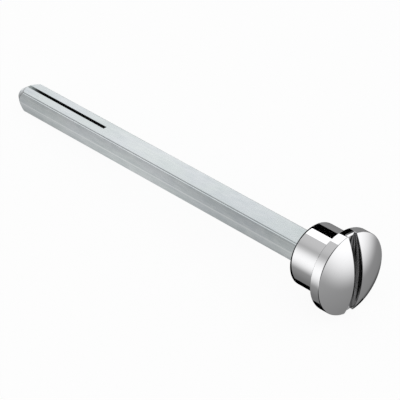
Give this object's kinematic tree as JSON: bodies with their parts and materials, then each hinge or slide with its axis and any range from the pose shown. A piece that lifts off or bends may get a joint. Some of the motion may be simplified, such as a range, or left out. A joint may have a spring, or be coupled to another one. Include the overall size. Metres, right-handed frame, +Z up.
{
  "type": "door handle spindle",
  "caption": "Square split door spindle with a round chrome coin-slot head for a bathroom or privacy lock.",
  "frame": {"origin": "on the spindle's axis, in the plane of the flange's back face, where the collar meets the flange", "axes": "+X along the axis, from the bar towards the slotted head; the bar's sides face Y and Z; +Z up"},
  "size_m": [0.12, 0.021, 0.021],
  "materials": {
    "zinc_plated_steel": "satin bright zinc plating with fine lengthwise draw lines",
    "polished_chrome": "mirror polished chrome plating"
  },
  "bodies": {
    "root": {"spindle_bar": "zinc_plated_steel", "spindle_head": "polished_chrome"}
  },
  "joints": []
}
